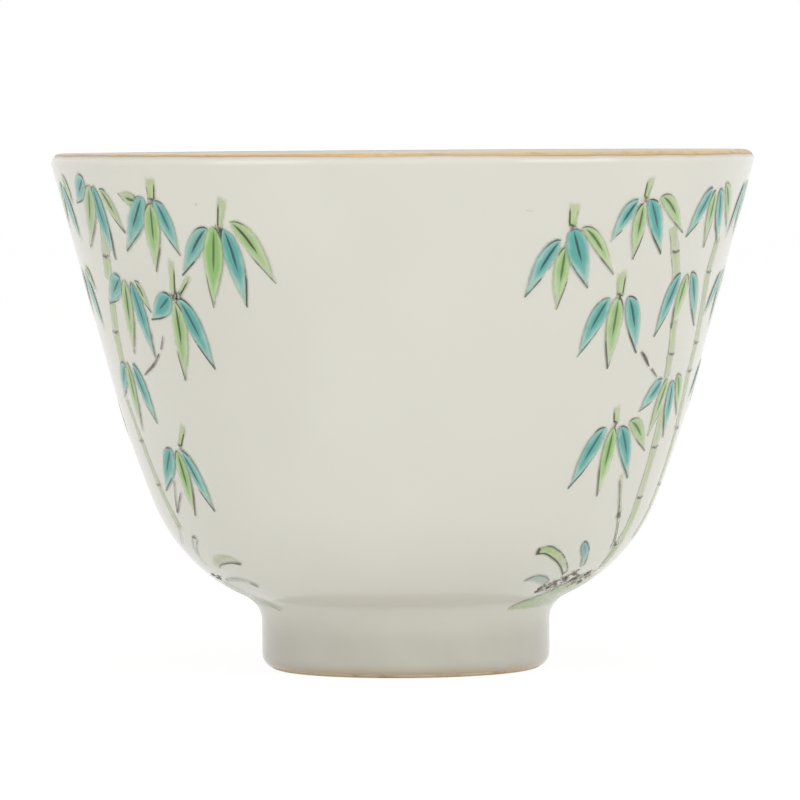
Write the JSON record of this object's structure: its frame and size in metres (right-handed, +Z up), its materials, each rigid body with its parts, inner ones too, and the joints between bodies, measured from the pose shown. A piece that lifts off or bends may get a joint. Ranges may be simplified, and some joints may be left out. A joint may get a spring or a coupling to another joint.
{
  "type": "porcelain cup",
  "caption": "Thin flared porcelain cup on a turned foot ring, with a gilded lip and a bamboo grove painted in raised enamels over the glaze, for drinking tea or wine.",
  "frame": {"origin": "middle of the ring that the foot stands on, at table height", "axes": "+Z up along the cup's axis, -Y to the front, with the bare white side that faces the viewer, +X to the viewer's right"},
  "size_m": [0.084, 0.084, 0.062],
  "materials": {
    "porcelain": "fired bare clay, matt",
    "glaze": "glossy clear glaze over white porcelain",
    "well_glaze": "glossy clear glaze over white porcelain",
    "gilding": "thin worn gilding",
    "cane_enamel": "glossy translucent enamel",
    "twig_enamel": "glossy translucent enamel",
    "green_enamel": "glossy translucent enamel",
    "turquoise_enamel": "glossy translucent enamel",
    "ground_enamel": "glossy translucent enamel",
    "green_grass_enamel": "glossy translucent enamel",
    "turquoise_grass_enamel": "glossy translucent enamel"
  },
  "bodies": {
    "root": {"porcelain_body": "porcelain", "glaze_coat": "glaze", "foot_well_glaze": "well_glaze", "gilt_rim": "gilding", "bamboo_canes": "cane_enamel", "twigs": "twig_enamel", "green_leaves": "green_enamel", "turquoise_leaves": "turquoise_enamel", "ground_bank": "ground_enamel", "green_grass": "green_grass_enamel", "turquoise_grass": "turquoise_grass_enamel"}
  },
  "joints": []
}
